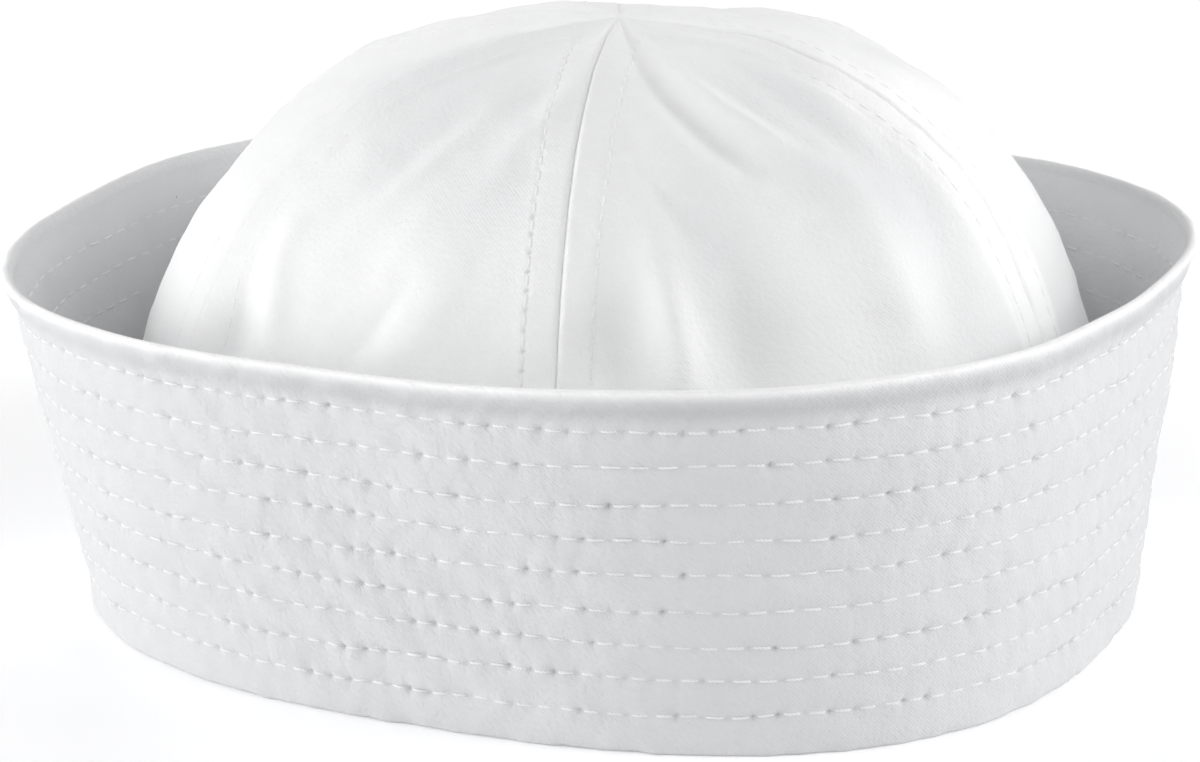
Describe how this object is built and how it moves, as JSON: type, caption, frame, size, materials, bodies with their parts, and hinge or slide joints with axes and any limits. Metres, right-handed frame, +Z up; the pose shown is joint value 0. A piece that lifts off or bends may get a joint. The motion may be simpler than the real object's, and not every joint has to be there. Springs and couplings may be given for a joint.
{
  "type": "sailor cap",
  "caption": "White cotton sailor cap: a round crown of sewn panels inside a stiff stitched brim that is turned up all round, open below for the head.",
  "frame": {"origin": "middle of the cap's box at the level of the brim's foot, where the cap rests", "axes": "+Z up, the cap's front seam towards -Y, its long way along Y, the wearer's left towards +X"},
  "size_m": [0.1981, 0.2111, 0.1108],
  "materials": {
    "crown_cotton": "matte white cotton twill, softly creased",
    "brim_cotton": "matte white cotton twill, stiffened by rows of stitching",
    "stitching_thread": "white cotton sewing thread with a faint sheen"
  },
  "bodies": {
    "root": {"crown_panel_1": "crown_cotton", "crown_panel_2": "crown_cotton", "crown_panel_3": "crown_cotton", "crown_panel_4": "crown_cotton", "crown_panel_5": "crown_cotton", "crown_panel_6": "crown_cotton", "brim": "brim_cotton"}
  },
  "joints": []
}
